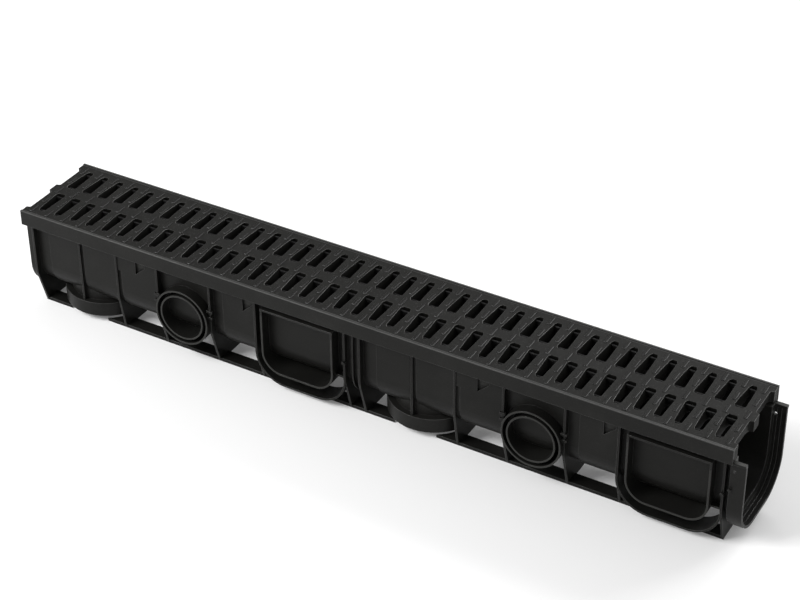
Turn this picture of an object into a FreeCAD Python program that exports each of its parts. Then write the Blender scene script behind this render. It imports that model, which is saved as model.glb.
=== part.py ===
import FreeCAD, Part
import math
import os
import Sketcher

os.makedirs("parts", exist_ok=True)
doc = FreeCAD.newDocument("FloorDrain")
sheet = doc.addObject("Spreadsheet::Sheet", "Sizes")

# Linear floor drain: a moulded channel with a slotted grate resting in its rim.
# X runs along the channel, the near side faces -Y, Z is up and the feet stand on z = 0.


class Size:
    # a length with the sheet expression that drives it
    def __init__(self, value, text):
        self.value = value
        self.text = text

    def join(self, other, sign, value):
        if isinstance(other, Size):
            return Size(value, "(%s %s %s)" % (self.text, sign, other.text))
        return Size(value, "(%s %s %s mm)" % (self.text, sign, other))

    def amount(self, other):
        return other.value if isinstance(other, Size) else other

    def __add__(self, other):
        return self.join(other, "+", self.value + self.amount(other))

    def __sub__(self, other):
        return self.join(other, "-", self.value - self.amount(other))

    def __mul__(self, factor):
        return Size(self.value * factor, "(%s * %s)" % (self.text, factor))

    def __truediv__(self, factor):
        return Size(self.value / factor, "(%s / %s)" % (self.text, factor))

    def __neg__(self):
        return self * -1


row = [0]


def size(alias, value, note):
    # one row of the sheet: note, number, alias
    row[0] += 1
    sheet.set("A%d" % row[0], note)
    sheet.set("B%d" % row[0], str(value))
    sheet.setAlias("B%d" % row[0], alias)
    return Size(float(value), "Sizes.%s * 1 mm" % alias)


# Whole channel
channelLength = size("channelLength", 1000, "length of one channel module")
channelHeight = size("channelHeight", 150, "feet to rim")
rimWall = size("rimWall", 3, "wall of the upstanding rim")
rimDepth = size("rimDepth", 20, "rim top to the ledge the grate rests on")
rimLip = size("rimLip", 1.2, "how far the rim band hangs below the ledge")
ledgePlate = size("ledgePlate", 3, "thickness of the ledge")
ledgeWidth = size("ledgeWidth", 14.9, "width of the ledge on each side")
troughWidth = size("troughWidth", 101, "clear width of the trough")
troughWall = size("troughWall", 3, "wall of the trough")
troughFloor = size("troughFloor", 31.5, "height of the trough floor")
troughCorner = size("troughCorner", 33, "inside radius of the trough corners")
panelRise = size("panelRise", 1.7, "how far the wall panels stand proud")
panelFirst = size("panelFirst", 31.8, "start of a half to the first wall panel")
panelStep = size("panelStep", 5.6, "outlet rib to the wall panel beside it")
panelGap = size("panelGap", 16, "socket rib to the wall panel beside it")

# Ribs and feet
ribWall = size("ribWall", 2.8, "thickness of a cross rib")
ribRise = size("ribRise", 8.5, "trough wall to the front edge of a deep rib")
shallowRise = size("shallowRise", 3, "trough wall to the front edge of a shallow rib")
ribBend = size("ribBend", 53, "height where the ribs turn in to the feet")
footReach = size("footReach", 47, "centre plane to the outer side of a foot rail")
railWidth = size("railWidth", 18.5, "width of a foot rail")
railHeight = size("railHeight", 4.5, "thickness of a foot rail")
endRib = size("endRib", 11, "module end to the first cross rib")
gussetWidth = size("gussetWidth", 6.5, "reach of the gussets at the tops of the outlet ribs")
gussetHeight = size("gussetHeight", 9, "height of those gussets")
bridgeDrop = size("bridgeDrop", 30, "ledge underside to the end of the flush stretch beside the collar rib")

# Floor outlet, one in each half
outletPlace = size("outletPlace", 82, "start of a half to the floor outlet")
outletBore = size("outletBore", 55.4, "bore radius of the outlet collar, for a 110 mm pipe")
outletWall = size("outletWall", 3.6, "wall of the outlet collar")
outletLift = size("outletLift", 10, "height of the collar's mouth")
outletTop = size("outletTop", 30, "height of the collar's shoulder")
outletPlate = size("outletPlate", 3, "thickness of the collar's shoulder")
reliefDepth = size("reliefDepth", 1, "depth of the groove above the outlet's bore")
reliefHeight = size("reliefHeight", 1.4, "height of that groove")
neckRadius = size("neckRadius", 50.5, "outside radius of the outlet neck")
neckWall = size("neckWall", 2.5, "wall of the outlet neck")

# Side pipe sockets
socketLevel = size("socketLevel", 66, "height of the side socket's axis")
socketOuter = size("socketOuter", 39.7, "outside radius of the large side ring")
socketInner = size("socketInner", 32.5, "outside radius of the small side ring")
socketWall = size("socketWall", 2.2, "wall of the side rings")
nubLevel = size("nubLevel", 76.6, "height of the lower snap nub beside a socket")
nubPitch = size("nubPitch", 9, "distance between the two nubs of a pair")
nubWidth = size("nubWidth", 8, "how far the nubs reach along the channel")
nubHeight = size("nubHeight", 3, "height of a nub")
nubRise = size("nubRise", 1.6, "how far the nubs stand out from the rib edge")

# Side branch blanks
branchEnd = size("branchEnd", 75.7, "side branch to the end of a half")
branchInner = size("branchInner", 52.2, "half width of the inner branch frame")
branchDrop = size("branchDrop", 4.5, "ledge underside to the inner branch frame")
branchFloor = size("branchFloor", 29.5, "underside of the inner branch frame")
branchCorner = size("branchCorner", 28, "corner radius of the inner branch frame")
branchWall = size("branchWall", 2.4, "wall of the branch frames")
cradleHalf = size("cradleHalf", 66.5, "half width of the outer branch frame")
cradleFloor = size("cradleFloor", 8, "underside of the outer branch frame")
cradleCorner = size("cradleCorner", 42, "corner radius of the outer branch frame")
cradleDepth = size("cradleDepth", 28, "depth of the outer branch frame")

# End coupling
couplingLength = size("couplingLength", 15, "how far the end ring stands out")
couplingClear = size("couplingClear", 0.5, "clearance of the next channel's nose in the ring")
couplingWall = size("couplingWall", 3.5, "wall of the end ring")
noseRise = size("noseRise", 5.5, "trough wall to the outside of the plain nose")
noseFloor = size("noseFloor", 21.5, "underside of the plain nose")
noseCorner = size("noseCorner", 39, "corner radius of the plain nose")
sealDepth = size("sealDepth", 1.2, "depth of the seal grooves")
sealWidth = size("sealWidth", 1.6, "width of the seal grooves")
sealPlace = size("sealPlace", 3.8, "start of the ring to its first seal groove")
sealPitch = size("sealPitch", 5.2, "distance between the seal grooves")
jointRib = size("jointRib", 1.7, "thickness of the rib at the middle joint")
jointGroove = size("jointGroove", 5, "middle joint to the grooves beside it")
flangeClear = size("flangeClear", 0.4, "clearance of the ring's top flange in the next channel")
lipWidth = size("lipWidth", 1.2, "width of the lip round the ring's top flange")
lipHeight = size("lipHeight", 1.1, "height of the lip round the ring's top flange")
pegRadius = size("pegRadius", 2, "radius of the locating pegs at the joints")
pegLevel = size("pegLevel", 80, "height of the locating pegs")
pegRise = size("pegRise", 3.5, "how far the locating pegs stand out")
eyeStep = size("eyeStep", 10.2, "how far the ring's peg lies above the rib's")
holeRadius = size("holeRadius", 2.1, "radius of the pin hole through the ring")
holeDrop = size("holeDrop", 11, "ledge underside to the pin hole")

# Clips for the grate and marks on the trough walls
clipBefore = size("clipBefore", 93.5, "start of the first clip pocket to the socket")
clipAfter = size("clipAfter", 72, "socket to the start of the second clip pocket")
clipWidth = size("clipWidth", 21, "width of a clip pocket")
clipHeight = size("clipHeight", 16, "height of a clip pocket")
clipDrop = size("clipDrop", 1, "ledge underside to the clip pocket")
clipDepth = size("clipDepth", 2.6, "depth of a clip pocket")
wedgeInset = size("wedgeInset", 5.5, "start of a clip pocket to the wedge in it")
wedgeDrop = size("wedgeDrop", 3.5, "top of a clip pocket to the top of its wedge")
wedgeLean = size("wedgeLean", 1.9, "trough wall to the top edge of the wedge's face")
guardWidth = size("guardWidth", 4.5, "width of the raised posts beside a clip pocket")
guardFoot = size("guardFoot", 1.6, "height of the raised lip under a clip pocket")
guardRise = size("guardRise", 1.1, "how far the posts and the lip stand out")
notchStart = size("notchStart", 15, "start of a clip pocket to the notch outside")
notchWidth = size("notchWidth", 15.5, "width of the notch outside")
notchDrop = size("notchDrop", 28, "ledge underside to the low corner of that notch")
notchRise = size("notchRise", 14, "height of the notch's slanted edge")
notchTop = size("notchTop", 8.5, "ledge underside to the top of that notch")
notchDepth = size("notchDepth", 3, "depth of that notch")
markWidth = size("markWidth", 14, "width of a raised mark on the wall")
markRise = size("markRise", 0.7, "how far a mark stands out")
markHeight = size("markHeight", 3, "height of a mark")
markDrop = size("markDrop", 6, "ledge underside to a mark")

# Grate
grateClear = size("grateClear", 0.4, "clearance of the grate in the rim on each side")
grateHeight = size("grateHeight", 17.9, "height of the grate without its lugs")
grateEndGap = size("grateEndGap", 0.3, "grate end to module end")
grateNotch = size("grateNotch", 5, "depth of the recesses in the grate's ends")
gratePost = size("gratePost", 10, "width left of the grate's end beside its recesses")
flangeWall = size("flangeWall", 4, "wall of the grate's side flanges")
barDepth = size("barDepth", 11, "least depth of the cross bars")
spineHalf = size("spineHalf", 7.5, "half width of the middle rib")
spineDepth = size("spineDepth", 15.5, "depth of the middle rib")
archSlope = size("archSlope", 17, "width of the underside's outer slopes")
spineSlope = size("spineSlope", 14, "width of the slopes beside the middle rib")
slotMargin = size("slotMargin", 23.9, "module end to the middle of the first slot")
slotEdge = size("slotEdge", 11, "side of the grate to the slots")
slotInset = size("slotInset", 0.5, "middle rib to the slots")
slotWidth = size("slotWidth", 9.6, "width of a slot")
slotBevel = size("slotBevel", 2.2, "size of the bevelled slot corners")
recessCorner = size("recessCorner", 1.8, "radius in the recesses of the grate's ends")
barWall = size("barWall", 3.2, "wall of the hollow cross bars")
coreInset = size("coreInset", 6, "slot end to the hollow under a cross bar")
plateThickness = size("plateThickness", 5, "plate left above the hollow bars")
lugHeight = size("lugHeight", 1.4, "height of the feet under the flanges")
lugLength = size("lugLength", 14, "length of the feet under the flanges")
lugMargin = size("lugMargin", 20, "module end to the first foot")
slotCount = 39
lugCount = 5
pegSides = 6

doc.recompute()

# Derived places
halfTrough = troughWidth / 2
halfWall = halfTrough + troughWall
seat = halfTrough + ledgeWidth
halfRim = seat + rimWall
ribReach = halfWall + ribRise
shallowReach = halfWall + shallowRise
noseHalf = halfWall + noseRise
flangeReach = seat - flangeClear
ledgeLevel = channelHeight - rimDepth
ledgeUnder = ledgeLevel - ledgePlate
outerCorner = troughCorner + troughWall
outerFloor = troughFloor - troughWall
startX = -(channelLength + couplingLength) / 2
halfLength = channelLength / 2
socketPlace = halfLength / 2
branchPlace = halfLength - branchEnd
branchTop = ledgeUnder - branchDrop
holeLevel = ledgeUnder - holeDrop
zero = Size(0.0, "0 mm")
halves = 2


def plane(body, role):
    for item in body.Origin.OriginFeatures:
        if item.Role == role:
            return item


def newBody(name):
    return doc.addObject("PartDesign::Body", name)


def sketchOn(body, role, name, offset=None):
    # sketch on one of the body's own planes, moved along that plane's normal
    sketch = body.newObject("Sketcher::SketchObject", name)
    sketch.AttachmentSupport = (plane(body, role), [""])
    sketch.MapMode = "FlatFace"
    if offset is not None:
        sketch.AttachmentOffset.Base.z = offset.value
        sketch.setExpression(".AttachmentOffset.Base.z", offset.text)
    return sketch


def place(sketch, item, point, x, y):
    # hold one point of the sketch at x, y from its origin
    for kind, amount in (("DistanceX", x), ("DistanceY", y)):
        index = sketch.addConstraint(Sketcher.Constraint(kind, -1, 1, item, point, amount.value))
        sketch.setExpression("Constraints[%d]" % index, amount.text)


def circle(sketch, x, y, radius):
    centre = FreeCAD.Vector(x.value, y.value, 0)
    ring = sketch.addGeometry(Part.Circle(centre, FreeCAD.Vector(0, 0, 1), radius.value), False)
    place(sketch, ring, 3, x, y)
    index = sketch.addConstraint(Sketcher.Constraint("Radius", ring, radius.value))
    sketch.setExpression("Constraints[%d]" % index, radius.text)


def outline(sketch, corners):
    # closed outline through (x, y, radius) corners; radius None leaves a corner sharp
    count = len(corners)
    spots = [FreeCAD.Vector(x.value, y.value, 0) for x, y, radius in corners]
    entry = []
    leave = []
    for number in range(count):
        here = spots[number]
        radius = corners[number][2]
        if radius is None:
            entry.append(here)
            leave.append(here)
            continue
        before = (spots[number - 1] - here).normalize()
        after = (spots[(number + 1) % count] - here).normalize()
        reach = radius.value / math.tan(before.getAngle(after) / 2)
        entry.append(here + before * reach)
        leave.append(here + after * reach)
    sides = []
    for number in range(count):
        side = Part.LineSegment(leave[number], entry[(number + 1) % count])
        sides.append(sketch.addGeometry(side, False))
    for number in range(count):
        x, y, radius = corners[number]
        before = sides[number - 1]
        after = sides[number]
        if radius is None:
            sketch.addConstraint(Sketcher.Constraint("Coincident", before, 2, after, 1))
            place(sketch, after, 1, x, y)
            continue
        here = spots[number]
        inward = (entry[number] - here + leave[number] - here).normalize()
        middle = here + inward * (radius.value / math.sin((entry[number] - here).getAngle(inward)))
        top = middle - inward * radius.value
        turn = (here - entry[number]).cross(leave[number] - here).z
        first = 1 if turn > 0 else 2
        ends = (entry[number], leave[number]) if turn > 0 else (leave[number], entry[number])
        bend = sketch.addGeometry(Part.Arc(ends[0], top, ends[1]), False)
        corner = sketch.addGeometry(Part.Point(here), True)
        place(sketch, corner, 1, x, y)
        sketch.addConstraint(Sketcher.Constraint("PointOnObject", corner, 1, before))
        sketch.addConstraint(Sketcher.Constraint("PointOnObject", corner, 1, after))
        sketch.addConstraint(Sketcher.Constraint("Tangent", before, 2, bend, first))
        sketch.addConstraint(Sketcher.Constraint("Tangent", after, 1, bend, 3 - first))
        index = sketch.addConstraint(Sketcher.Constraint("Radius", bend, radius.value))
        sketch.setExpression("Constraints[%d]" % index, radius.text)


def box(sketch, left, right, low, high):
    outline(sketch, [(left, low, None), (right, low, None), (right, high, None), (left, high, None)])


def pad(body, sketch, name, length, kind="PartDesign::Pad", reverse=False):
    feature = body.newObject(kind, name)
    feature.Profile = sketch
    feature.Length = length.value
    feature.setExpression("Length", length.text)
    feature.Reversed = reverse
    body.Tip = feature
    return feature


def repeat(body, features, name, role, length, copies):
    pattern = body.newObject("PartDesign::LinearPattern", name)
    pattern.Originals = features
    pattern.Direction = (plane(body, role), [""])
    pattern.Length = length.value
    pattern.setExpression("Length", length.text)
    pattern.Occurrences = copies
    body.Tip = pattern
    return pattern


def mirrorY(source, name):
    # the same piece on the far side of the centre plane
    copy = doc.addObject("Part::Mirroring", name)
    copy.Source = source
    copy.Normal = FreeCAD.Vector(0, 1, 0)
    return copy


def join(kind, name, pieces):
    # fuse a list, or cut the second piece from the first
    result = doc.addObject(kind, name)
    if kind == "Part::MultiFuse":
        result.Shapes = pieces
    else:
        result.Base = pieces[0]
        result.Tool = pieces[1]
    return result


def trough(half, floor, corner, top):
    # U section, open upwards
    return [(-half, top, None), (-half, floor, corner), (half, floor, corner), (half, top, None)]


# Solid outside of the trough with its rim: one extrusion
def makeShell():
    body = newBody("ShellSolid")
    sketch = sketchOn(body, "YZ_Plane", "ShellProfile", startX)
    bandLow = ledgeLevel - rimLip
    outline(sketch, [
        (-halfRim, channelHeight, None), (-halfRim, bandLow, None), (-seat, bandLow, None),
        (-seat, ledgeUnder, None), (-halfWall, ledgeUnder, None),
        (-halfWall, outerFloor, outerCorner), (halfWall, outerFloor, outerCorner),
        (halfWall, ledgeUnder, None), (seat, ledgeUnder, None), (seat, bandLow, None),
        (halfRim, bandLow, None), (halfRim, channelHeight, None)])
    pad(body, sketch, "ShellPad", channelLength)
    return body


# Thicker stretches of the trough: raised wall panels, the nose, the ring and the middle joint
def sleeve(name, half, floor, corner, start, length, copies=1, top=ledgeUnder):
    body = newBody(name)
    sketch = sketchOn(body, "YZ_Plane", name + "Profile", start)
    outline(sketch, trough(half, floor, corner, top))
    feature = pad(body, sketch, name + "Pad", length)
    if copies > 1:
        repeat(body, [feature], name + "Halves", "X_Axis", halfLength, copies)
    return body


panelHalf = halfWall + panelRise
panelFloor = outerFloor - panelRise
panelCorner = outerCorner + panelRise
shallowRib = outletPlace + outletBore + outletWall
socketLeft = socketPlace - socketOuter - ribWall / 4
socketRight = socketPlace + socketOuter + ribWall / 4
branchLeft = branchPlace - cradleHalf
branchRight = branchPlace + cradleHalf - ribWall
panels = [
    ("PanelA", panelFirst, outletPlace - ribWall),
    ("PanelB", outletPlace + panelStep, shallowRib),
    ("PanelC", shallowRib + panelStep + ribWall / 2, socketLeft),
    ("PanelD", socketRight + panelGap, branchLeft)]
sleeves = []
for name, low, high in panels:
    start = startX + low
    sleeves.append(sleeve(name, panelHalf, panelFloor, panelCorner, start, high - low, halves))
ringHalf = noseHalf + couplingClear
ringFloor = noseFloor - couplingClear
ringCorner = noseCorner + couplingClear
ringStart = startX + channelLength
sleeves.append(sleeve("Nose", noseHalf, noseFloor, noseCorner, startX, endRib))
sleeves.append(sleeve(
    "Ring", ringHalf + couplingWall, ringFloor - couplingWall, ringCorner + couplingWall,
    ringStart - couplingWall, couplingLength + couplingWall, top=ledgeLevel))
sleeves.append(sleeve(
    "JointRib", noseHalf, noseFloor, noseCorner, startX + halfLength - jointRib / 2, jointRib))
sleeves.append(sleeve(
    "JointCore", panelHalf, panelFloor, panelCorner, startX + halfLength - endRib, endRib * 2))


# Cross ribs: plates across the channel that run down to the feet
def ribPlates(name, places, reach, foot):
    body = newBody(name)
    made = []
    for number, spot in enumerate(places):
        label = "%s%d" % (name, number)
        sketch = sketchOn(body, "YZ_Plane", label + "Profile", startX + spot - ribWall / 2)
        outline(sketch, [
            (-reach, ledgeUnder, None), (-reach, ribBend, None), (-foot, zero, None),
            (foot, zero, None), (reach, ribBend, None), (reach, ledgeUnder, None)])
        made.append(pad(body, sketch, label, ribWall))
    repeat(body, made, name + "Halves", "X_Axis", halfLength, halves)
    return body


deepRibs = ribPlates(
    "DeepRibs", [endRib, socketLeft, socketRight, branchLeft + ribWall / 2, branchRight + ribWall / 2],
    ribReach, footReach)
flatRibs = ribPlates("FlatRibs", [shallowRib], shallowReach, footReach)


# Rib above the outlet, from the rim down to the collar
def makeOutletRib():
    body = newBody("OutletRib")
    sketch = sketchOn(body, "YZ_Plane", "OutletRibProfile", startX + outletPlace - ribWall / 2)
    box(sketch, -shallowReach, shallowReach, outletTop - outletPlate / 2, ledgeUnder)
    made = pad(body, sketch, "OutletRibPad", ribWall)
    repeat(body, [made], "OutletRibHalves", "X_Axis", halfLength, halves)
    return body


# Foot rails along both sides
def makeRail():
    body = newBody("Rail")
    first = startX + endRib - ribWall / 2
    sketch = sketchOn(body, "YZ_Plane", "RailProfile", first)
    box(sketch, -footReach, railWidth - footReach, zero, railHeight)
    length = halfLength + branchRight + ribWall - (endRib - ribWall / 2)
    pad(body, sketch, "RailPad", length)
    return body


# Gussets between the rim and the ribs over the outlet
def makeGussets():
    body = newBody("Gussets")
    made = []
    for number, spot in enumerate((outletPlace, shallowRib)):
        sketch = sketchOn(body, "XZ_Plane", "GussetProfile%d" % number, shallowReach)
        edge = startX + spot
        outline(sketch, [
            (edge, ledgeUnder, None), (edge - gussetWidth, ledgeUnder, None),
            (edge, ledgeUnder - gussetHeight, None)])
        made.append(pad(body, sketch, "Gusset%d" % number, shallowRise + troughWall / 2, reverse=True))
    # flush stretch between the collar rib and the panel beside it
    sketch = sketchOn(body, "XZ_Plane", "FlushProfile", panelHalf)
    left = startX + shallowRib
    box(sketch, left, left + panelStep + ribWall, ledgeUnder - bridgeDrop, ledgeUnder)
    made.append(pad(body, sketch, "Flush", panelRise + troughWall / 2, reverse=True))
    repeat(body, made, "GussetHalves", "X_Axis", halfLength, halves)
    return body


# Flange and lip on top of the ring's wall
def makeRingTop():
    body = newBody("RingTop")
    end = ringStart + couplingLength
    sketch = sketchOn(body, "XY_Plane", "RingTopProfile", ledgeUnder)
    box(sketch, ringStart, end, -flangeReach, -ringHalf)
    pad(body, sketch, "RingTopPad", ledgePlate)
    sketch = sketchOn(body, "XY_Plane", "LipProfile", ledgeLevel - lipHeight)
    outer = -flangeReach
    inner = lipWidth - flangeReach
    back = end - lipWidth
    outline(sketch, [
        (ringStart, outer, None), (end, outer, None), (end, -ringHalf, None), (back, -ringHalf, None),
        (back, inner, None), (ringStart, inner, None)])
    pad(body, sketch, "LipPad", lipHeight * 2)
    return body


# Locating pegs on the ribs at the joints and on the ring
def makePegs():
    body = newBody("Pegs")
    angles = [math.pi * 2 * side / pegSides for side in range(pegSides)]
    places = [
        (startX + branchRight + ribWall / 2, pegLevel, ribReach),
        (startX + halfLength + branchRight + ribWall / 2, pegLevel, ribReach),
        (ringStart - couplingWall / 2, pegLevel + eyeStep, ringHalf + couplingWall)]
    for number, (x, level, face) in enumerate(places):
        sketch = sketchOn(body, "XZ_Plane", "PegProfile%d" % number, face + pegRise)
        outline(sketch, [
            (x + pegRadius * math.cos(angle), level + pegRadius * math.sin(angle), None)
            for angle in angles])
        pad(body, sketch, "Peg%d" % number, pegRise * 2, reverse=True)
    return body


def discs(name, radius, low, high):
    # upright cylinders at both floor outlets
    body = newBody(name)
    sketch = sketchOn(body, "XY_Plane", name + "Profile", low)
    circle(sketch, startX + outletPlace, zero, radius)
    made = pad(body, sketch, name + "Pad", high - low)
    repeat(body, [made], name + "Halves", "X_Axis", halfLength, halves)
    return body


neckTop = outerFloor + outerCorner
collar = discs("Collar", outletBore + outletWall, outletLift, outletTop)
neck = discs("Neck", neckRadius, outletTop - outletPlate, neckTop)
collarBore = discs("CollarBore", outletBore, -outletLift, outletTop - outletPlate)
relief = discs(
    "CollarRelief", outletBore + reliefDepth, outletTop - outletPlate - reliefHeight, outletTop - outletPlate)
neckBore = discs("NeckBore", neckRadius - neckWall, outletTop - outletPlate * 2, neckTop)


def rings(name, radius, deep):
    # level cylinders from the rim face inwards, at both near side sockets
    body = newBody(name)
    sketch = sketchOn(body, "XZ_Plane", name + "Profile", halfRim)
    circle(sketch, startX + socketPlace, socketLevel, radius)
    made = pad(body, sketch, name + "Pad", deep, reverse=True)
    repeat(body, [made], name + "Halves", "X_Axis", halfLength, halves)
    return body


socketDeep = halfRim - halfTrough + troughCorner / 2


def makeRings():
    # two rings with an open groove between them
    body = newBody("SideRings")
    sketch = sketchOn(body, "XZ_Plane", "SideRingsProfile", halfRim)
    x = startX + socketPlace
    for radius in (socketOuter, socketOuter - socketWall, socketInner, socketInner - socketWall):
        circle(sketch, x, socketLevel, radius)
    made = pad(body, sketch, "SideRingsPad", socketDeep, reverse=True)
    repeat(body, [made], "SideRingsHalves", "X_Axis", halfLength, halves)
    return body


# Snap nubs on the front edges of the ribs beside the sockets
def makeNubs():
    body = newBody("Nubs")
    made = []
    for number, spot in enumerate((socketLeft, socketRight)):
        for step in range(2):
            label = "Nub%d%d" % (number, step)
            sketch = sketchOn(body, "XZ_Plane", label + "Profile", ribReach + nubRise)
            low = nubLevel + nubPitch * step - nubHeight / 2
            middle = startX + spot
            box(sketch, middle - nubWidth / 2, middle + nubWidth / 2, low, low + nubHeight)
            made.append(pad(body, sketch, label, nubRise * 2, reverse=True))
    repeat(body, made, "NubHalves", "X_Axis", halfLength, halves)
    return body


# Branch frames: a closed inner frame and an open cradle round it
def makeBranch():
    body = newBody("Branch")
    x = startX + branchPlace
    sketch = sketchOn(body, "XZ_Plane", "BranchProfile", halfRim)
    for inset in (zero, branchWall):
        half = branchInner - inset
        low = branchFloor + inset
        radius = branchCorner - inset
        outline(sketch, [
            (x - half, branchTop - inset, None), (x - half, low, radius),
            (x + half, low, radius), (x + half, branchTop - inset, None)])
    frame = pad(body, sketch, "BranchPad", socketDeep, reverse=True)
    sketch = sketchOn(body, "XZ_Plane", "CradleProfile", ribReach)
    half = cradleHalf
    inner = cradleHalf - branchWall
    low = cradleFloor + branchWall
    radius = cradleCorner - branchWall
    outline(sketch, [
        (x - half, ledgeUnder, None), (x - half, cradleFloor, cradleCorner),
        (x + half, cradleFloor, cradleCorner), (x + half, ledgeUnder, None),
        (x + inner, ledgeUnder, None), (x + inner, low, radius),
        (x - inner, low, radius), (x - inner, ledgeUnder, None)])
    cradle = pad(body, sketch, "CradlePad", cradleDepth, reverse=True)
    sketch = sketchOn(body, "XZ_Plane", "BridgeProfile", ribReach)
    level = branchFloor + branchCorner
    box(sketch, x + branchInner - branchWall, x + inner + branchWall / 2, level - branchWall, level)
    bridge = pad(body, sketch, "BridgePad", cradleDepth, reverse=True)
    repeat(body, [frame, cradle, bridge], "BranchHalves", "X_Axis", halfLength, halves)
    return body


# Everything that the trough does not cut through
def makeVoid():
    body = newBody("TroughVoid")
    over = couplingLength
    sketch = sketchOn(body, "YZ_Plane", "VoidProfile", startX - over)
    top = channelHeight + ledgePlate
    outline(sketch, [
        (-seat, top, None), (-seat, ledgeLevel, None), (-halfTrough, ledgeLevel, None),
        (-halfTrough, troughFloor, troughCorner), (halfTrough, troughFloor, troughCorner),
        (halfTrough, ledgeLevel, None), (seat, ledgeLevel, None), (seat, top, None)])
    pad(body, sketch, "VoidPad", channelLength + over * 3)
    sketch = sketchOn(body, "YZ_Plane", "MouthProfile", ringStart)
    outline(sketch, trough(ringHalf, ringFloor, ringCorner, ledgeLevel))
    pad(body, sketch, "MouthPad", couplingLength + over)
    for number in range(2):
        spot = ringStart + sealPlace + sealPitch * number
        sketch = sketchOn(body, "YZ_Plane", "SealProfile%d" % number, spot)
        outline(sketch, trough(
            ringHalf + sealDepth, ringFloor - sealDepth, ringCorner + sealDepth, ledgeUnder - sealWidth))
        pad(body, sketch, "Seal%d" % number, sealWidth)
    for number, side in enumerate((-1, 1)):
        sketch = sketchOn(body, "YZ_Plane", "NotchSide%d" % number, startX - over)
        inner = noseHalf if side > 0 else -seat
        outer = seat if side > 0 else -noseHalf
        box(sketch, inner, outer, ledgeUnder - rimLip * 2, top)
        pad(body, sketch, "NosePocket%d" % number, over * 2 + flangeClear)
    sketch = sketchOn(body, "XZ_Plane", "PinProfile", halfRim)
    circle(sketch, ringStart + couplingWall / 2, holeLevel, holeRadius)
    pad(body, sketch, "PinHole", halfRim * 2, reverse=True)
    middle = startX + halfLength
    for number, side in enumerate((-1, 1)):
        spot = middle + jointGroove * side - sealWidth / 2
        sketch = sketchOn(body, "YZ_Plane", "JointProfile%d" % number, spot)
        outline(sketch, trough(
            halfTrough + sealDepth, troughFloor - sealDepth, troughCorner + sealDepth,
            ledgeUnder - sealWidth))
        pad(body, sketch, "Joint%d" % number, sealWidth)
    return body


def clipSpots():
    # number, left side and right side of each clip pocket in a half
    for number, spot in enumerate((socketPlace - clipBefore, socketPlace + clipAfter)):
        left = startX + spot
        yield number, left, left + clipWidth


clipTop = ledgeUnder - clipDrop
clipLow = clipTop - clipHeight


def makeClips():
    # blind clip pockets under the ledge
    body = newBody("ClipPockets")
    made = []
    for number, left, right in clipSpots():
        sketch = sketchOn(body, "XZ_Plane", "ClipProfile%d" % number, halfTrough + clipDepth)
        box(sketch, left, right, clipLow, clipTop)
        made.append(pad(body, sketch, "Clip%d" % number, clipDepth * 2, reverse=True))
    repeat(body, made, "ClipHalves", "X_Axis", halfLength, halves)
    return body


def makeNotches():
    # slanted notches outside, behind the clip pockets
    body = newBody("Notches")
    made = []
    low = ledgeUnder - notchDrop
    high = ledgeUnder - notchTop
    for number, left, right in clipSpots():
        sketch = sketchOn(body, "XZ_Plane", "NotchProfile%d" % number, panelHalf - notchDepth)
        edge = left + notchStart
        outline(sketch, [
            (edge, low, None), (edge + notchWidth, low + notchRise, None),
            (edge + notchWidth, high, None), (edge, high, None)])
        made.append(pad(body, sketch, "Notch%d" % number, notchDepth * 2))
    repeat(body, made, "NotchHalves", "X_Axis", halfLength, halves)
    return body


def makeWedges():
    # leaning wedges in the clip pockets, and the raised posts and lip round them
    body = newBody("Wedges")
    made = []
    back = halfTrough + clipDepth + (troughWall - clipDepth) / 2
    for number, left, right in clipSpots():
        sketch = sketchOn(body, "YZ_Plane", "WedgeProfile%d" % number, left + wedgeInset)
        high = clipTop - wedgeDrop
        outline(sketch, [
            (-back, clipLow, None), (markRise - halfTrough, clipLow, None),
            (-halfTrough - wedgeLean, high, None), (-back, high, None)])
        made.append(pad(body, sketch, "Wedge%d" % number, clipWidth - wedgeInset))
        sketch = sketchOn(body, "XZ_Plane", "GuardProfile%d" % number, halfTrough + guardRise)
        foot = clipLow - guardFoot
        outline(sketch, [
            (left - guardWidth, foot, None), (right + guardWidth, foot, None),
            (right + guardWidth, clipTop, None), (right, clipTop, None), (right, clipLow, None),
            (left, clipLow, None), (left, clipTop, None), (left - guardWidth, clipTop, None)])
        made.append(pad(body, sketch, "Guard%d" % number, guardRise * 2, reverse=True))
    repeat(body, made, "WedgeHalves", "X_Axis", halfLength, halves)
    return body


def makeMarks():
    # short raised marks on the inside of both walls
    body = newBody("Marks")
    made = []
    level = ledgeUnder - markDrop
    for number, spot in enumerate((outletPlace, branchPlace)):
        sketch = sketchOn(body, "XZ_Plane", "MarkProfile%d" % number, halfWall - troughWall / 2)
        x = startX + spot
        box(sketch, x - markWidth / 2, x + markWidth / 2, level - markHeight, level)
        made.append(pad(body, sketch, "Mark%d" % number, troughWall / 2 + markRise, reverse=True))
    repeat(body, made, "MarkHalves", "X_Axis", halfLength, halves)
    return body


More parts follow.
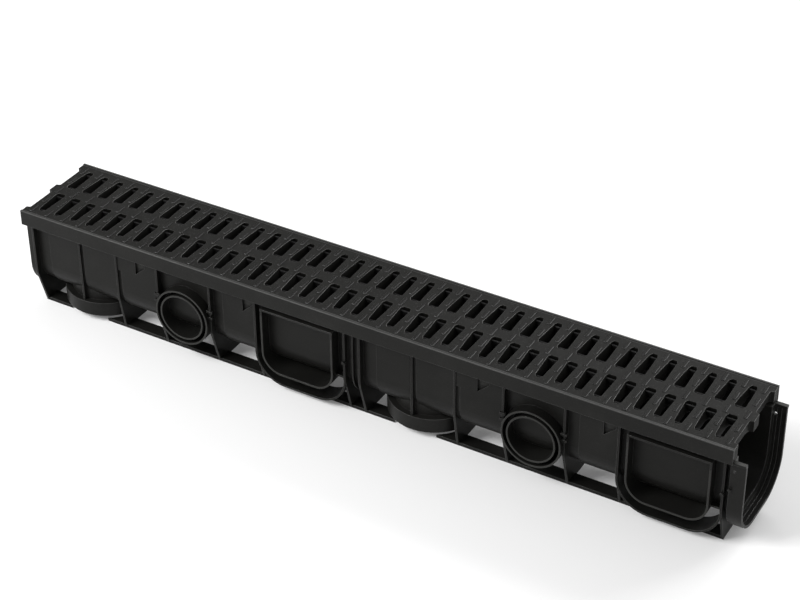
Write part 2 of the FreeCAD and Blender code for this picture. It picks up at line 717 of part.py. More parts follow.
shell = makeShell()
sideRings = makeRings()
ringCore = rings("RingCore", socketOuter - socketWall / 2, socketDeep)
nubs = makeNubs()
gussets = makeGussets()
ringTop = makeRingTop()
pegs = makePegs()
branch = makeBranch()
rail = makeRail()
outletRib = makeOutletRib()
marks = makeMarks()
wedges = makeWedges()
trunk = join("Part::MultiFuse", "Underframe", [
    deepRibs, flatRibs, outletRib, rail, mirrorY(rail, "FarRail"), collar, neck])
bores = join("Part::MultiFuse", "Bores", [
    collarBore, relief, neckBore, ringCore, mirrorY(ringCore, "FarRingCore")])
frame = join("Part::Cut", "Frame", [trunk, bores])
outside = join("Part::MultiFuse", "Outside", [
    frame, shell, sideRings, mirrorY(sideRings, "FarRings"), nubs, mirrorY(nubs, "FarNubs"),
    gussets, mirrorY(gussets, "FarGussets"), ringTop, mirrorY(ringTop, "FarRingTop"),
    pegs, mirrorY(pegs, "FarPegs"), branch, mirrorY(branch, "FarBranch")] + sleeves)
clips = makeClips()
pockets = join("Part::MultiFuse", "Pockets", [makeVoid(), clips, mirrorY(clips, "FarClips")])
hollow = join("Part::Cut", "Hollow", [outside, pockets])
detailed = join("Part::MultiFuse", "Detailed", [
    hollow, marks, mirrorY(marks, "FarMarks"), wedges, mirrorY(wedges, "FarWedges")])
notches = makeNotches()
bothNotches = join("Part::MultiFuse", "BothNotches", [notches, mirrorY(notches, "FarNotches")])
channel = join("Part::Cut", "Channel", [detailed, bothNotches])
channel.Refine = True
channel.Label = "channel_body"


# Grate: plate with side flanges, two rows of slots and hollow cross bars
def makeGrate():
    body = newBody("Grate")
    base = ledgeLevel + lugHeight
    top = base + grateHeight
    left = startX + grateEndGap
    right = startX + channelLength - grateEndGap
    half = seat - grateClear
    tab = spineHalf
    post = half - gratePost
    sketch = sketchOn(body, "XY_Plane", "GrateOutline", base)
    inLeft = left + grateNotch
    inRight = right - grateNotch
    fine = recessCorner
    outline(sketch, [
        (left, -half, None), (right, -half, None), (right, -post, None), (inRight, -post + fine, fine),
        (inRight, -tab - fine, fine), (right, -tab, None), (right, tab, None), (inRight, tab + fine, fine),
        (inRight, post - fine, fine), (right, post, None), (right, half, None), (left, half, None),
        (left, post, None), (inLeft, post - fine, fine), (inLeft, tab + fine, fine), (left, tab, None),
        (left, -tab, None), (inLeft, -tab - fine, fine), (inLeft, -post + fine, fine), (left, -post, None)])
    pad(body, sketch, "GratePad", grateHeight)
    # arched underside, one arch on each side of the middle rib
    sketch = sketchOn(body, "YZ_Plane", "ArchProfile", startX)
    low = base - lugHeight
    crown = top - barDepth
    spineLow = top - spineDepth
    inner = half - flangeWall
    outline(sketch, [
        (-inner, low, None), (-inner, base, None), (archSlope - inner, crown, None),
        (-spineHalf - spineSlope, crown, None), (-spineHalf, spineLow, None), (spineHalf, spineLow, None),
        (spineHalf + spineSlope, crown, None), (inner - archSlope, crown, None), (inner, base, None),
        (inner, low, None)])
    pad(body, sketch, "ArchCut", channelLength, kind="PartDesign::Pocket", reverse=True)
    # slots
    span = channelLength - slotMargin * 2
    pitch = span / (slotCount - 1)
    first = startX + slotMargin
    rowInner = spineHalf + slotInset
    rowOuter = half - slotEdge
    made = []
    for number, side in enumerate((-1, 1)):
        sketch = sketchOn(body, "XY_Plane", "SlotProfile%d" % number, top)
        near = rowInner * side
        far = rowOuter * side
        cut = slotBevel * side
        wide = slotWidth / 2
        narrow = wide - slotBevel
        outline(sketch, [
            (first - wide, near + cut, None), (first - narrow, near, None), (first + narrow, near, None),
            (first + wide, near + cut, None), (first + wide, far - cut, None), (first + narrow, far, None),
            (first - narrow, far, None), (first - wide, far - cut, None)])
        made.append(pad(body, sketch, "Slot%d" % number, grateHeight, kind="PartDesign::Pocket"))
    repeat(body, made, "SlotRows", "X_Axis", span, slotCount)
    # hollows under the cross bars
    gap = pitch - slotWidth - barWall * 2
    made = []
    for number, side in enumerate((-1, 1)):
        sketch = sketchOn(body, "XY_Plane", "CoreProfile%d" % number, base)
        x = first + pitch / 2
        box(sketch, x - gap / 2, x + gap / 2, (rowInner + coreInset) * side, (rowOuter - coreInset) * side)
        depth = grateHeight - plateThickness
        made.append(pad(body, sketch, "Core%d" % number, depth, kind="PartDesign::Pocket", reverse=True))
    repeat(body, made, "CoreRows", "X_Axis", span - pitch, slotCount - 1)
    # feet under the flanges
    made = []
    for number, side in enumerate((-1, 1)):
        sketch = sketchOn(body, "XY_Plane", "LugProfile%d" % number, ledgeLevel)
        x = startX + lugMargin
        box(sketch, x - lugLength / 2, x + lugLength / 2, inner * side, half * side)
        made.append(pad(body, sketch, "Lug%d" % number, lugHeight * 2))
    repeat(body, made, "LugRows", "X_Axis", channelLength - lugMargin * 2, lugCount)
    return body


grate = makeGrate()
grate.Label = "grate"
doc.recompute()

for item in doc.Objects:
    for state in ("Invalid", "Error"):
        if state in item.State:
            raise RuntimeError("%s is %s" % (item.Name, state))
for node in (channel, grate):
    if node.Shape.isNull() or not node.Shape.isValid():
        raise RuntimeError("%s has no valid shape" % node.Label)
    solids = len(node.Shape.Solids)
    if solids != 1:
        raise RuntimeError("%s has %d solids" % (node.Label, solids))
    bounds = node.Shape.BoundBox
    print(node.Label, "volume", round(node.Shape.Volume), "faces", len(node.Shape.Faces))
    print("  from", round(bounds.XMin, 2), round(bounds.YMin, 2), round(bounds.ZMin, 2))
    print("  to", round(bounds.XMax, 2), round(bounds.YMax, 2), round(bounds.ZMax, 2))
    node.Shape.exportStep("parts/%s.step" % node.Label)
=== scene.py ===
import bpy
import math
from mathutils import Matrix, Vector


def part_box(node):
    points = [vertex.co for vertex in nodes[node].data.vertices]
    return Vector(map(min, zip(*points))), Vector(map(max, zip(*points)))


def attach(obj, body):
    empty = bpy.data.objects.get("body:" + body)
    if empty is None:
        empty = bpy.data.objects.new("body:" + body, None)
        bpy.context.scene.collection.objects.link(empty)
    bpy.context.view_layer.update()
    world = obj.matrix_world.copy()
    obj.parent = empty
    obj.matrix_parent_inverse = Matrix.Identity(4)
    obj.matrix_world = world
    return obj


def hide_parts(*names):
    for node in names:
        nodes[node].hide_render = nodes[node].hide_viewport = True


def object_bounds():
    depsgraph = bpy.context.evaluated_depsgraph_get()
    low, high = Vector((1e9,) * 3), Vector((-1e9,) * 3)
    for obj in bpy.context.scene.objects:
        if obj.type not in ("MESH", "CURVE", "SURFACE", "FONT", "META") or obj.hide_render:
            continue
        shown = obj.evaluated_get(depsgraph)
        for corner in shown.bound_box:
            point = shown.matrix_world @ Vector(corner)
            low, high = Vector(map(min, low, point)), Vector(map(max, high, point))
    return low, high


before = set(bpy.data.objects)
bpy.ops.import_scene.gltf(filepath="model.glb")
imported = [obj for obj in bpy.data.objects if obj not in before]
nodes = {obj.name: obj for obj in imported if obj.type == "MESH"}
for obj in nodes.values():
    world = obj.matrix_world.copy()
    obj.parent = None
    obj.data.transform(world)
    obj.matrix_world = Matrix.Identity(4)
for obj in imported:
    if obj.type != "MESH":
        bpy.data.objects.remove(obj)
cadBox = [list(corner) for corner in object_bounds()]
print("frame loaded")

flatNormal = 0.9  # a face whose normal is at least this upright counts as a top or an underside


def clearSelection():
    if bpy.context.object and bpy.context.object.mode != "OBJECT":
        bpy.ops.object.mode_set(mode="OBJECT")
    bpy.ops.object.select_all(action="DESELECT")


def pickOnly(piece):
    clearSelection()
    piece.select_set(True)
    bpy.context.view_layer.objects.active = piece


def settle(piece):
    # place, turn and size go into the mesh
    pickOnly(piece)
    bpy.ops.object.transform_apply(location=True, rotation=True, scale=True)


def addBlock(place, size):
    # the start of a piece that is shaped afterwards
    clearSelection()
    bpy.ops.mesh.primitive_cube_add(size=1, location=place, scale=size)
    piece = bpy.context.object
    settle(piece)
    return piece


def pickParts(piece, kind, wanted):
    # leaves the piece in edit mode, with only the vertices, edges or faces selected that pass the test
    bpy.ops.object.mode_set(mode="EDIT")
    bpy.ops.mesh.select_mode(type=kind)
    bpy.ops.mesh.select_all(action="DESELECT")
    bpy.ops.object.mode_set(mode="OBJECT")
    parts = {"VERT": piece.data.vertices, "EDGE": piece.data.edges, "FACE": piece.data.polygons}[kind]
    for part in parts:
        part.select = wanted(part)
    bpy.ops.object.mode_set(mode="EDIT")


def chamferAll(piece, width):
    bpy.ops.object.mode_set(mode="EDIT")
    bpy.ops.mesh.select_all(action="SELECT")
    bpy.ops.mesh.bevel(offset=width, segments=1, affect="EDGES")
    bpy.ops.object.mode_set(mode="OBJECT")


def joinPieces(parts, name):
    clearSelection()
    for part in parts:
        part.select_set(True)
    bpy.context.view_layer.objects.active = parts[0]
    bpy.ops.object.join()
    piece = bpy.context.object
    piece.name = name
    settle(piece)
    return piece


def joinCopies(pattern, places, name):
    # copies of one modelled piece, each with its own mesh, as one object
    copies = []
    for place in places:
        twin = pattern.copy()
        twin.data = pattern.data.copy()
        twin.location = place
        bpy.context.collection.objects.link(twin)
        copies.append(twin)
    bpy.data.objects.remove(pattern)
    return joinPieces(copies, name)


def addNode(tree, kind, values=None, **settings):
    node = tree.nodes.new(kind)
    for key, value in settings.items():
        setattr(node, key, value)
    for socket, value in (values or {}).items():
        node.inputs[socket].default_value = value
    return node


def newMaterial(name):
    material = bpy.data.materials.new(name)
    material.use_nodes = True
    tree = material.node_tree
    tree.nodes.clear()
    output = addNode(tree, "ShaderNodeOutputMaterial")
    shader = addNode(tree, "ShaderNodeBsdfPrincipled")
    tree.links.new(shader.outputs["BSDF"], output.inputs["Surface"])
    return material, tree, shader, output


def noiseField(tree, scale, detail, roughness, stretch=(1, 1, 1)):
    # noise on the piece's own coordinates, stretched along its axes
    where = addNode(tree, "ShaderNodeTexCoord")
    mapping = addNode(tree, "ShaderNodeMapping", {"Scale": stretch})
    noise = addNode(tree, "ShaderNodeTexNoise", {"Scale": scale, "Detail": detail, "Roughness": roughness})
    tree.links.new(where.outputs["Object"], mapping.inputs["Vector"])
    tree.links.new(mapping.outputs["Vector"], noise.inputs["Vector"])
    return noise.outputs["Fac"]


def remap(tree, source, span, result=(0, 1)):
    limits = {"From Min": span[0], "From Max": span[1], "To Min": result[0], "To Max": result[1]}
    node = addNode(tree, "ShaderNodeMapRange", limits)
    tree.links.new(source, node.inputs["Value"])
    return node.outputs["Result"]


def combine(tree, operation, first, second):
    node = addNode(tree, "ShaderNodeMath", operation=operation)
    for socket, value in zip(node.inputs, (first, second)):
        if isinstance(value, (int, float)):
            socket.default_value = value
        else:
            tree.links.new(value, socket)
    return node.outputs["Value"]


def product(tree, first, *others):
    for other in others:
        first = combine(tree, "MULTIPLY", first, other)
    return first


def dotProduct(tree, first, second):
    node = addNode(tree, "ShaderNodeVectorMath", operation="DOT_PRODUCT")
    for socket, value in zip(node.inputs, (first, second)):
        if isinstance(value, tuple):
            socket.default_value = value
        else:
            tree.links.new(value, socket)
    return node.outputs["Value"]


def mixColours(tree, amount, first, second):
    node = addNode(tree, "ShaderNodeMix", data_type="RGBA")
    for socket, value in ((node.inputs[6], first), (node.inputs[7], second)):  # the node's two colours
        if isinstance(value, tuple):
            socket.default_value = (*value, 1)
        else:
            tree.links.new(value, socket)
    tree.links.new(amount, node.inputs["Factor"])
    return node.outputs[2]  # the mixed colour


def addBump(tree, height, strength, depth, normal):
    bump = addNode(tree, "ShaderNodeBump", {"Strength": strength, "Distance": depth})
    tree.links.new(height, bump.inputs["Height"])
    tree.links.new(normal, bump.inputs["Normal"])
    return bump.outputs["Normal"]


# what all the plastics share: detail and roughness of each noise, the span of each pattern that counts, how a
# strip of painted light or shade fades at its borders, and how an edge is told from a flat face and from a
# hollow
plasticPattern = {
    "flowNoise": (4, 0.55), "grainNoise": (3, 0.6), "speckNoise": (2, 0.5), "dustNoise": (6, 0.65),
    "flowSpan": (0.3, 0.7), "speckSpan": (0.6, 0.74), "dustSpan": (0.5, 0.85), "paintedBandSpan": (0.25, 0.75),
    "wearAndHighlightSpan": (0.35, 0.65), "wearAndHighlightPatches": (0.35, 1), "lightwardSpan": (0.1, 0.45),
    "dustRoughness": 0.6, "levelFade": 0.0002, "acrossFade": 0.0005,
    "edgeSamples": 6, "edgeLean": (0.995, 0.88), "edgeOpen": (0.7, 0.92), "openReach": 4,
}


def edgeMask(tree, radius):
    # how far the rounded normal leans away from the flat one, kept to outward edges
    samples = plasticPattern["edgeSamples"]
    rounded = addNode(tree, "ShaderNodeBevel", {"Radius": radius}, samples=samples)
    geometry = addNode(tree, "ShaderNodeNewGeometry")
    facing = dotProduct(tree, rounded.outputs["Normal"], geometry.outputs["True Normal"])
    lean = remap(tree, facing, plasticPattern["edgeLean"])
    reach = radius * plasticPattern["openReach"]
    hollow = addNode(tree, "ShaderNodeAmbientOcclusion", {"Distance": reach}, samples=samples)
    outward = remap(tree, hollow.outputs["AO"], plasticPattern["edgeOpen"])
    return rounded.outputs["Normal"], product(tree, lean, outward)


def bandMask(tree, axis, band, soft):
    # one inside a band of the piece's own coordinates, alike on both sides of zero, and falling off softly
    low, high = band
    where = addNode(tree, "ShaderNodeTexCoord")
    split = addNode(tree, "ShaderNodeSeparateXYZ")
    tree.links.new(where.outputs["Object"], split.inputs["Vector"])
    place = combine(tree, "ABSOLUTE", split.outputs[axis], 0)
    rising = remap(tree, place, (low - soft, low))
    falling = remap(tree, place, (high, high + soft), (1, 0))
    return product(tree, rising, falling)


def mouldedPlastic(name, finish):
    # satin moulded plastic: flow clouds, fine spark grain, softened edges, a little dust, handling wear with
    # painted edge highlights, and strips of painted light and shade
    material, tree, shader = newMaterial(name)[:3]
    shared = plasticPattern
    clouds = noiseField(tree, finish["flowScale"], *shared["flowNoise"], finish["flowStretch"])
    grain = noiseField(tree, finish["grainScale"], *shared["grainNoise"])
    speckle = noiseField(tree, finish["speckScale"], *shared["speckNoise"])
    dust = noiseField(tree, finish["dustScale"], *shared["dustNoise"])
    edgeNormal, edge = edgeMask(tree, finish["edgeRadius"])
    tone = mixColours(tree, remap(tree, clouds, shared["flowSpan"]), finish["dark"], finish["light"])
    specks = product(tree, remap(tree, speckle, shared["speckSpan"]), finish["speckAmount"])
    tone = mixColours(tree, specks, tone, finish["speck"])
    # edges are painted lighter, part handling wear and part painted highlight; edges that face the ring end get
    # more of this painted highlight than the others
    patches = remap(tree, dust, shared["wearAndHighlightSpan"], shared["wearAndHighlightPatches"])
    lightwardHighlight = remap(tree, dotProduct(tree, edgeNormal, (1, 0, 0)), shared["lightwardSpan"],
                     (finish["awayEdgeHighlight"], 1))
    wearAndHighlight = product(tree, edge, patches, finish["wearAndHighlightAmount"], lightwardHighlight)
    tone = mixColours(tree, wearAndHighlight, tone, finish["wornAndHighlight"])
    powder = product(tree, remap(tree, dust, shared["dustSpan"]), finish["dustAmount"])
    tone = mixColours(tree, powder, tone, finish["dust"])
    for paintedBand in finish["paintedLightBands"]:
        # a strip along the piece with painted light or painted shade: a lighter or darker tone of its own
        level = bandMask(tree, "Z", paintedBand["level"], shared["levelFade"])
        across = bandMask(tree, "Y", paintedBand["across"], shared["acrossFade"])
        paintedBandAmount = product(tree, level, across, remap(tree, clouds, shared["paintedBandSpan"], paintedBand["amount"]))
        tone = mixColours(tree, paintedBandAmount, tone, paintedBand["colour"])
    tree.links.new(tone, shader.inputs["Base Color"])
    sheen = remap(tree, clouds, shared["flowSpan"], (finish["roughLow"], finish["roughHigh"]))
    sheen = combine(tree, "ADD", sheen, product(tree, powder, shared["dustRoughness"]))
    sheen = combine(tree, "SUBTRACT", sheen, product(tree, edge, finish["edgePolish"]))
    tree.links.new(sheen, shader.inputs["Roughness"])
    shader.inputs["IOR"].default_value = finish["ior"]
    shader.inputs["Specular IOR Level"].default_value = finish["gloss"]
    fine = addBump(tree, grain, finish["grainStrength"], finish["grainDepth"], edgeNormal)
    wide = addBump(tree, clouds, finish["waveStrength"], finish["waveDepth"], fine)
    tree.links.new(wide, shader.inputs["Normal"])
    return material


channelFinish = {
    "dark": (0.0057, 0.0056, 0.0051), "light": (0.0085, 0.0084, 0.0076),
    "speck": (0.04, 0.04, 0.039), "speckAmount": 0.25, "speckScale": 900,
    "wornAndHighlight": (0.14, 0.14, 0.137), "wearAndHighlightAmount": 0.8, "awayEdgeHighlight": 0.75, "edgePolish": 0.2,
    "dust": (0.075, 0.073, 0.069), "dustAmount": 0.08, "dustScale": 14,
    "flowStretch": (0.35, 1, 1), "flowScale": 16, "grainScale": 1400,
    "grainStrength": 0.22, "grainDepth": 0.00015, "waveStrength": 0.12, "waveDepth": 0.0011,
    "roughLow": 0.36, "roughHigh": 0.46, "ior": 1.49, "gloss": 0.13, "edgeRadius": 0.0009,
    # painted light and painted highlights, in turn on: the ledge under the grate's feet, the rim's outer edges,
    # the foremost edges of rings and ribs, the clip wedges, the raised marks on the trough wall
    "paintedLightBands": [
        {"level": (0.1297, 0.1303), "across": (0.0505, 0.0645),
         "amount": (0.5, 0.9), "colour": (0.034, 0.034, 0.031)},
        {"level": (0.149, 0.151), "across": (0.0673, 0.069),
         "amount": (0.3, 0.9), "colour": (0.085, 0.085, 0.083)},
        {"level": (0.001, 0.112), "across": (0.0677, 0.069),
         "amount": (0.4, 0.9), "colour": (0.032, 0.032, 0.03)},
        {"level": (0.109, 0.1262), "across": (0.0515, 0.0525),
         "amount": (0.6, 1.0), "colour": (0.02, 0.02, 0.0185)},
        {"level": (0.1181, 0.1211), "across": (0.0496, 0.0499),
         "amount": (0.9, 1.0), "colour": (0.045, 0.045, 0.043)},
    ],
}
grateFinish = {
    "dark": (0.0043, 0.0042, 0.0036), "light": (0.0067, 0.0066, 0.0058),
    "speck": (0.045, 0.045, 0.044), "speckAmount": 0.6, "speckScale": 520,
    "wornAndHighlight": (0.38, 0.38, 0.37), "wearAndHighlightAmount": 1.0, "awayEdgeHighlight": 0.16, "edgePolish": 0.24,
    "dust": (0.085, 0.083, 0.079), "dustAmount": 0.07, "dustScale": 17,
    "flowStretch": (0.5, 1, 1), "flowScale": 22, "grainScale": 1150,
    "grainStrength": 0.45, "grainDepth": 0.00022, "waveStrength": 0.1, "waveDepth": 0.0009,
    "roughLow": 0.44, "roughHigh": 0.56, "ior": 1.49, "gloss": 0.085, "edgeRadius": 0.0009,
    # painted highlight on the flanges' top edges, and painted shade on the walls down in the slots
    "paintedLightBands": [
        {"level": (0.1486, 0.15), "across": (0.0643, 0.0655),
         "amount": (0.4, 1.0), "colour": (0.1, 0.1, 0.098)},
        {"level": (0.128, 0.1478), "across": (0.0, 0.0545),
         "amount": (0.9, 1.0), "colour": (0.0032, 0.0031, 0.0027)},
    ],
}
# the grate's small pieces: pads with sloping sides painted darker as shade, the marks above the feet, pits and
# ribs painted dark as shade
padFinish = dict(grateFinish, edgeRadius=0.0005, wearAndHighlightAmount=0.2, paintedLightBands=[])
padSideShadeFinish = dict(
    padFinish, dark=(0.002, 0.002, 0.002), light=(0.003, 0.003, 0.003), speckAmount=0.0, wearAndHighlightAmount=0.0,
    dustAmount=0.0, grainStrength=0.1, roughLow=0.24, roughHigh=0.32, gloss=0.24)
markFinish = dict(padFinish, dark=(0.014, 0.014, 0.0138), light=(0.02, 0.02, 0.0195))
paintedShadeFinish = dict(
    grateFinish, dark=(0.003, 0.003, 0.003), light=(0.0045, 0.0045, 0.0045), wearAndHighlightAmount=0.1,
    dustAmount=0.04, paintedLightBands=[])

channelPlastic = mouldedPlastic("channelPlastic", channelFinish)
gratePlastic = mouldedPlastic("gratePlastic", grateFinish)
padPlastic = mouldedPlastic("padPlastic", padFinish)
markPlastic = mouldedPlastic("markPlastic", markFinish)
padSideShadePlastic = mouldedPlastic("padSideShadePlastic", padSideShadeFinish)
paintedShadePlastic = mouldedPlastic("paintedShadePlastic", paintedShadeFinish)
for nodeName, material in (("channel_body", channelPlastic), ("grate", gratePlastic)):
    nodes[nodeName].data.materials.clear()
    nodes[nodeName].data.materials.append(material)
print("plastics made")

grateLow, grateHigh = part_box("grate")
grateTop = grateHigh.z
grateMiddle = (grateLow.x + grateHigh.x) / 2

# the slots widen towards the middle rib, their ends are rounder and their walls lean: a reworked copy of the
# grate stands for the CAD one
grateSlots = {
    "count": 39, "pitch": 0.025058, "width": 0.0096, "near": 0.0002, "merge": 0.00001, "smoothAngle": 25,
    # how far from the grate's middle line a slot's points lie: all of them, and those of its two ends
    "whole": (0.0078, 0.0542),
    "inner": {"end": (0.0078, 0.0125), "corner": (0.0095, 0.0108), "lift": 0.0006},
    "outer": {"end": (0.0495, 0.0542), "corner": (0.0512, 0.0525), "lift": 0.0008},
    "rounding": 0.002,
    # how far a slot's two sides move along the grate, at the top of both ends and at the foot
    "left": {"inner": -0.0039, "outer": -0.0012, "foot": 0.0007},
    "right": {"inner": 0.0006, "outer": -0.0007, "foot": -0.0008},
}


def moveSlotPoints(piece, sides, rows, onTop, span, shift):
    # the same points of every slot, at its top or its foot, move together
    half = grateSlots["width"] / 2 + grateSlots["near"]

    def wanted(vertex):
        place = vertex.co
        number = round((place.x - grateMiddle) / grateSlots["pitch"])
        offset = place.x - grateMiddle - number * grateSlots["pitch"]
        inSlot = abs(number) <= grateSlots["count"] // 2 and abs(offset) < half
        inSpan = span[0] < abs(place.y) < span[1]
        onSide = (1 if offset > 0 else -1) in sides and (1 if place.y > 0 else -1) in rows
        high = place.z > grateTop - grateSlots["near"]
        return inSlot and inSpan and onSide and high == onTop

    pickParts(piece, "VERT", wanted)
    bpy.ops.transform.translate(value=shift)
    bpy.ops.object.mode_set(mode="OBJECT")


def makeGratePlate():
    piece = bpy.data.objects.new("grate_plate", nodes["grate"].data.copy())
    bpy.context.collection.objects.link(piece)
    pickOnly(piece)
    bpy.ops.object.mode_set(mode="EDIT")
    bpy.ops.mesh.select_all(action="SELECT")
    bpy.ops.mesh.remove_doubles(threshold=grateSlots["merge"])
    bpy.ops.object.mode_set(mode="OBJECT")
    bpy.ops.mesh.customdata_custom_splitnormals_clear()
    # corners move away from the slots' ends, and at their feet up along the arch
    for row in (-1, 1):
        for end, way in (("inner", 1), ("outer", -1)):
            along = grateSlots["rounding"] * way * row
            corner = grateSlots[end]["corner"]
            moveSlotPoints(piece, (-1, 1), (row,), True, corner, (0, along, 0))
            moveSlotPoints(piece, (-1, 1), (row,), False, corner, (0, along, grateSlots[end]["lift"]))
    # then each side of the slots moves along the grate
    for name, side in (("left", -1), ("right", 1)):
        shift = grateSlots[name]
        moveSlotPoints(piece, (side,), (-1, 1), False, grateSlots["whole"], (shift["foot"], 0, 0))
        for end in ("inner", "outer"):
            moveSlotPoints(piece, (side,), (-1, 1), True, grateSlots[end]["end"], (shift[end], 0, 0))
    bpy.ops.object.shade_smooth_by_angle(angle=math.radians(grateSlots["smoothAngle"]))
    return piece


gratePlate = makeGratePlate()
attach(gratePlate, "grate_panel")
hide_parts("grate")
print("grate plate:", len(gratePlate.data.polygons), "faces")

# raised pads, five on each bar between the slots and on both end bars
pads = {
    "length": 0.0165, "width": 0.0046, "height": 0.00068, "chamfer": 0.00062, "sunk": 0.0004,
    "endLand": 0.4887, "rows": (-0.0535, -0.027, -0.0005, 0.0265, 0.0535),
}


def makePad():
    piece = addBlock((0, 0, 0), (pads["width"], pads["length"], pads["height"] + pads["sunk"]))
    chamferAll(piece, pads["chamfer"])  # the sunk edges too
    # the sloping sides are smoother than the grained top, and painted darker as shade
    piece.data.materials.append(padPlastic)
    piece.data.materials.append(padSideShadePlastic)
    for face in piece.data.polygons:
        face.material_index = 0 if face.normal.z > flatNormal else 1
    return piece


def landPlaces():
    lands = grateSlots["count"] - 1
    first = grateMiddle - grateSlots["pitch"] * (lands - 1) / 2
    along = [first + grateSlots["pitch"] * number for number in range(lands)]
    return [grateMiddle - pads["endLand"]] + along + [grateMiddle + pads["endLand"]]


padLevel = grateTop + (pads["height"] - pads["sunk"]) / 2
padPlaces = [(x, y, padLevel) for x in landPlaces() for y in pads["rows"]]
gripPads = joinCopies(makePad(), padPlaces, "grip_pads")
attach(gripPads, "grate_panel")
print("grip pads:", len(padPlaces))

# ribs that run along under the slots, near both ends of each slot
slotRibs = {
    "length": 0.966, "thickness": 0.0024, "taper": 0.7, "edge": 0.0005, "slotsMiddle": -0.0074,
    "top": 0.0023, "inner": {"place": 0.0128, "bottom": 0.0105}, "outer": {"place": 0.0492, "bottom": 0.0175},
}


def makeSlotRib(place, bottom):
    tall = bottom - slotRibs["top"]
    level = grateTop - slotRibs["top"] - tall / 2
    piece = addBlock((slotRibs["slotsMiddle"], place, level), (slotRibs["length"], slotRibs["thickness"], tall))
    # underside drawn in to a slight taper, upper edges rounded
    pickParts(piece, "FACE", lambda face: face.normal.z < -flatNormal)
    bpy.ops.transform.resize(value=(1, slotRibs["taper"], 1))
    corners = piece.data.vertices
    pickParts(piece, "EDGE", lambda edge: min(corners[number].co.z for number in edge.vertices) > level)
    bpy.ops.mesh.bevel(offset=slotRibs["edge"], segments=2, affect="EDGES")
    bpy.ops.object.mode_set(mode="OBJECT")
    return piece


ribsMade = [makeSlotRib(slotRibs[row]["place"] * side, slotRibs[row]["bottom"])
            for row in ("inner", "outer") for side in (-1, 1)]
ribPiece = joinPieces(ribsMade, "slot_ribs")
# the ribs down in the slots are painted dark as shade
ribPiece.data.materials.append(paintedShadePlastic)
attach(ribPiece, "grate_panel")
print("slot ribs:", len(ribsMade))

# raised bar above each foot, on the flange's outer face
footMarks = {
    "length": 0.014, "tall": 0.0022, "rise": 0.00022, "sunk": 0.0003, "edge": 0.00015, "level": 0.1376,
    "margin": 0.02, "module": 1.0, "count": 5, "face": 0.065,
}


def makeFootMark():
    deep = footMarks["rise"] + footMarks["sunk"]
    piece = addBlock((0, 0, 0), (footMarks["length"], deep, footMarks["tall"]))
    chamferAll(piece, footMarks["edge"])
    return piece


footStep = (footMarks["module"] - footMarks["margin"] * 2) / (footMarks["count"] - 1)
markFace = footMarks["face"] + (footMarks["rise"] - footMarks["sunk"]) / 2
markPlaces = [(cadBox[0][0] + footMarks["margin"] + footStep * number, markFace * side, footMarks["level"])
              for number in range(footMarks["count"]) for side in (-1, 1)]
markPiece = joinCopies(makeFootMark(), markPlaces, "foot_marks")
markPiece.data.materials.append(markPlastic)
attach(markPiece, "grate_panel")
print("foot marks:", len(markPlaces))

# small round ejector marks beside the slots: low cups painted dark as the shade of a pit
pits = {
    "radius": 0.0011, "sides": 10, "rise": 0.00015, "lip": 0.0003, "depth": 0.00012, "shift": 0.0013,
    "rows": (-0.0593, -0.0327, 0.022, 0.0456),
}


def makePit():
    clearSelection()
    bpy.ops.mesh.primitive_cylinder_add(
        vertices=pits["sides"], radius=pits["radius"], depth=pits["rise"] * 2, location=(0, 0, 0))
    piece = bpy.context.object
    pickParts(piece, "FACE", lambda face: face.normal.z > flatNormal)
    bpy.ops.mesh.inset(thickness=pits["lip"])
    bpy.ops.transform.translate(value=(0, 0, -pits["depth"]))
    bpy.ops.object.mode_set(mode="OBJECT")
    return piece


pitPlaces = [(x + pits["shift"], y, grateTop) for x in landPlaces()[1:-1] for y in pits["rows"]]
mouldPits = joinCopies(makePit(), pitPlaces, "mould_pits")
mouldPits.data.materials.append(paintedShadePlastic)
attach(mouldPits, "grate_panel")
print("mould pits:", len(pitPlaces))

studio = {
    "floorSize": 14.0, "floorLevel": -0.0002, "floorColour": (0.86, 0.86, 0.86), "floorRoughness": 0.9,
    "floorGloss": 0.1, "floorLift": 0.1, "worldLight": 0.37,
    "lamps": {
        "keyLamp": {"place": (-1.6, -1.9, 2.15), "target": (0, 0, 0.1), "size": (1.6, 1.2), "power": 105},
        "fillLamp": {"place": (2.2, -2.0, 1.3), "target": (0.1, 0, 0.1), "size": (1.4, 1.4), "power": 6},
        "backLamp": {"place": (0.4, 2.4, 2.2), "target": (0, 0, 0.1), "size": (2.6, 0.8), "power": 48},
        "glintLamp": {"place": (1.25, 1.1, 0.78), "target": (0.45, 0, 0.25), "size": (0.35, 0.6), "power": 6.6},
    },
}


def shownRays(tree):
    # one for the rays that bring a surface into view: straight, in gloss or through glass
    path = addNode(tree, "ShaderNodeLightPath")
    shown = path.outputs["Is Camera Ray"]
    for ray in ("Is Glossy Ray", "Is Transmission Ray"):
        shown = combine(tree, "MAXIMUM", shown, path.outputs[ray])
    return shown


def makeFloorPaint():
    # a pale surface that keeps shadows, lifted towards white to the camera and in reflections
    material, tree, shader, output = newMaterial("floorPaint")
    shader.inputs["Base Color"].default_value = (*studio["floorColour"], 1)
    shader.inputs["Roughness"].default_value = studio["floorRoughness"]
    shader.inputs["Specular IOR Level"].default_value = studio["floorGloss"]
    glow = addNode(tree, "ShaderNodeEmission")
    total = addNode(tree, "ShaderNodeAddShader")
    tree.links.new(product(tree, shownRays(tree), studio["floorLift"]), glow.inputs["Strength"])
    tree.links.new(shader.outputs["BSDF"], total.inputs[0])
    tree.links.new(glow.outputs["Emission"], total.inputs[1])
    tree.links.new(total.outputs["Shader"], output.inputs["Surface"])
    return material


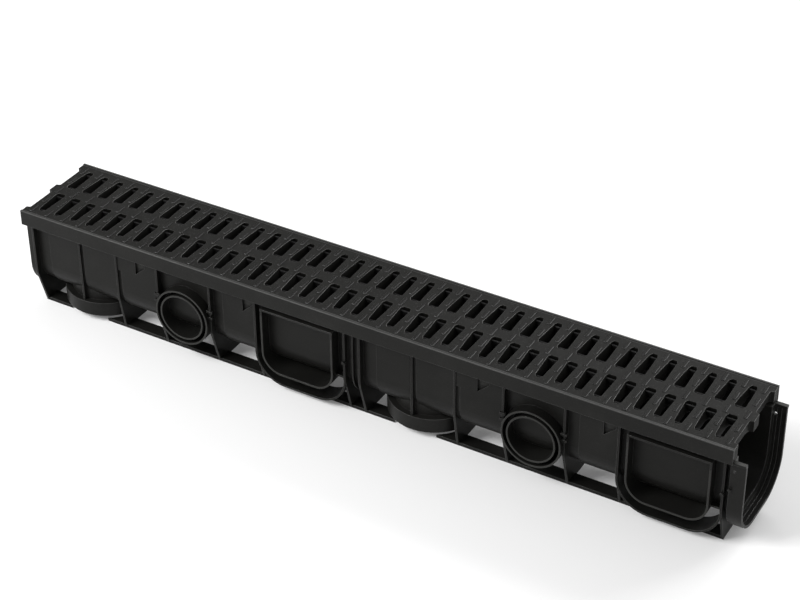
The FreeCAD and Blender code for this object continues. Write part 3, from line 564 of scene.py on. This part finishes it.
clearSelection()
bpy.ops.mesh.primitive_plane_add(size=studio["floorSize"], location=(0, 0, studio["floorLevel"]))
floor = bpy.context.object
floor.name = "floor"
settle(floor)
floor.data.materials.append(makeFloorPaint())

# the world lights the part softly, and is white wherever it is seen
world = bpy.data.worlds.new("studioWorld")
bpy.context.scene.world = world
world.use_nodes = True
sky = world.node_tree
sky.nodes.clear()
skyOut = addNode(sky, "ShaderNodeOutputWorld")
skyLight = addNode(sky, "ShaderNodeBackground", {"Color": (1, 1, 1, 1)})
skyStrength = remap(sky, shownRays(sky), (0, 1), (studio["worldLight"], 1))
sky.links.new(skyStrength, skyLight.inputs["Strength"])
sky.links.new(skyLight.outputs["Background"], skyOut.inputs["Surface"])


def placeAimed(name, content, place, direction):
    # a lamp or camera that looks along the direction
    holder = bpy.data.objects.new(name, content)
    bpy.context.collection.objects.link(holder)
    holder.location = place
    holder.rotation_euler = direction.to_track_quat("-Z", "Y").to_euler()
    return holder


for name, facts in studio["lamps"].items():
    lamp = bpy.data.lights.new(name, "AREA")
    lamp.shape = "RECTANGLE"
    lamp.size, lamp.size_y = facts["size"]
    lamp.energy = facts["power"]
    placeAimed(name, lamp, facts["place"], Vector(facts["target"]) - Vector(facts["place"]))

# the photograph's own view: a long lens from the right front, a little over thirty degrees up
view = {
    "turn": 29.61, "rise": 33.16, "distance": 2.44823, "target": (0.06577, 0, 0.25587),
    "sensor": 36, "lens": 92.99, "shiftX": -0.03535, "shiftY": -0.07946, "farthest": 50,
}
turn = math.radians(view["turn"])
rise = math.radians(view["rise"])
back = Vector((math.sin(turn) * math.cos(rise), -math.cos(turn) * math.cos(rise), math.sin(rise)))
lens = bpy.data.cameras.new("photoLens")
lens.sensor_width = view["sensor"]
lens.lens = view["lens"]
lens.shift_x = view["shiftX"]
lens.shift_y = view["shiftY"]
lens.clip_end = view["farthest"]
camera = placeAimed("photoCamera", lens, Vector(view["target"]) + back * view["distance"], -back)
bpy.context.scene.camera = camera
bpy.context.scene.view_settings.view_transform = "Standard"
print("studio set")
